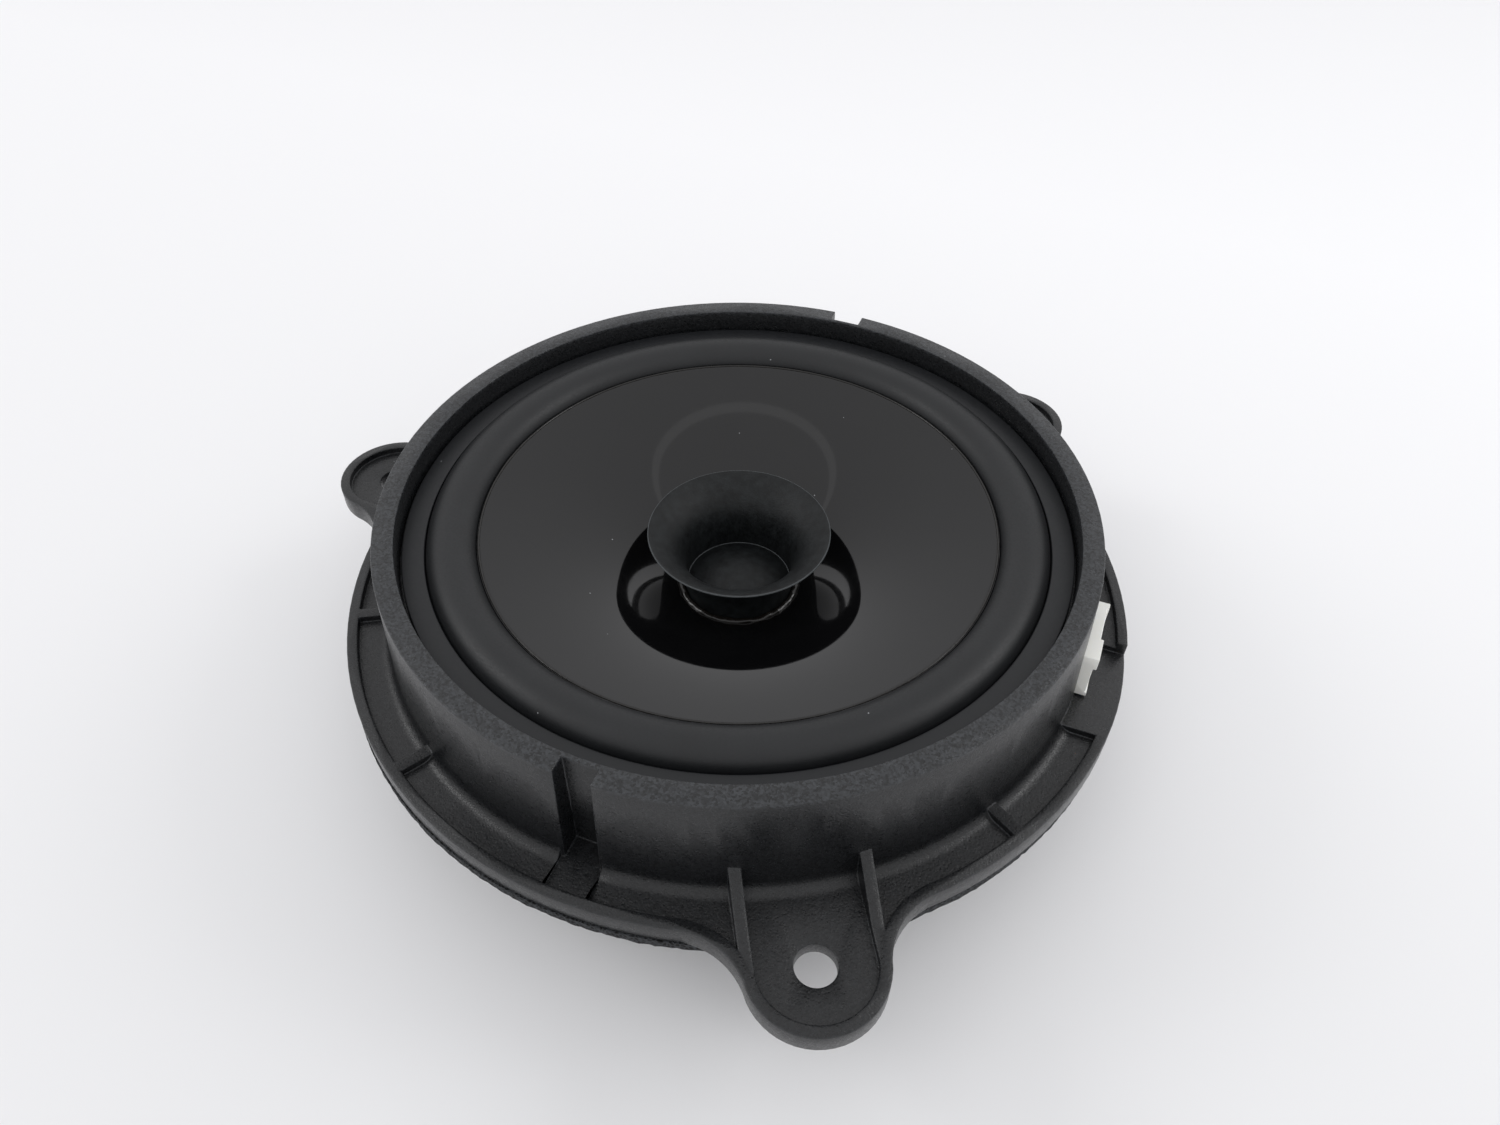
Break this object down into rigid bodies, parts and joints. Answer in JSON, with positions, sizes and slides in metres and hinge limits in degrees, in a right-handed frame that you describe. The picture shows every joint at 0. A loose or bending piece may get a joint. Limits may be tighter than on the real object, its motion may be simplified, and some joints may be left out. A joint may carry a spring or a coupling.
{
  "type": "full-range car door speaker",
  "caption": "Round full-range door speaker with a whizzer cone, in a one-piece frame and adapter with a tall wall, a ribbed flange, three drilled lugs and a side connector.",
  "frame": {"origin": "centre of the circle through the three lug holes, on the flange's back face", "axes": "+Z along the speaker's axis towards the listener, +X towards the connector"},
  "size_m": [0.208, 0.2014, 0.0675],
  "materials": {
    "moulded_frame": "glass-filled moulding, fine grain",
    "gasket_foam": "open foam",
    "ring_board": "satin",
    "surround_rubber": "matte",
    "adhesive": "set adhesive",
    "cone_plastic": "polished moulding",
    "whizzer_paper": "pressed pulp, dyed",
    "former_film": "film",
    "coil_wire": "enamelled wire",
    "spider_cloth": "resin-treated weave",
    "plated_steel": "zinc plated",
    "ferrite": "ground ferrite",
    "screw_steel": "zinc plated",
    "connector_nylon": "natural nylon",
    "terminal_brass": "tinned brass",
    "tinsel_lead": "braided tinsel"
  },
  "bodies": {
    "root": {"frame": "moulded_frame", "rear_gasket": "gasket_foam", "gasket_ring": "ring_board", "surround": "surround_rubber", "spider": "spider_cloth", "top_plate": "plated_steel", "magnet": "ferrite", "yoke": "plated_steel", "motor_screws": "screw_steel", "connector_housing": "connector_nylon", "terminal_positive": "terminal_brass", "terminal_negative": "terminal_brass", "lead_positive": "tinsel_lead", "lead_negative": "tinsel_lead"},
    "diaphragm": {"cone": "cone_plastic", "edge_adhesive": "adhesive", "neck_adhesive": "adhesive", "whizzer_cone": "whizzer_paper", "dust_cap": "whizzer_paper", "voice_coil_former": "former_film", "voice_coil": "coil_wire", "cone_eyelets": "terminal_brass"}
  },
  "joints": [
    {"name": "cone_travel", "type": "slide", "parent": "root", "child": "diaphragm", "axis": [0, 0, 1], "range_m": [-0.004, 0.004], "stiffness_N_per_m": 2000, "deforming": ["surround", "spider", "lead_positive", "lead_negative"]}
  ]
}
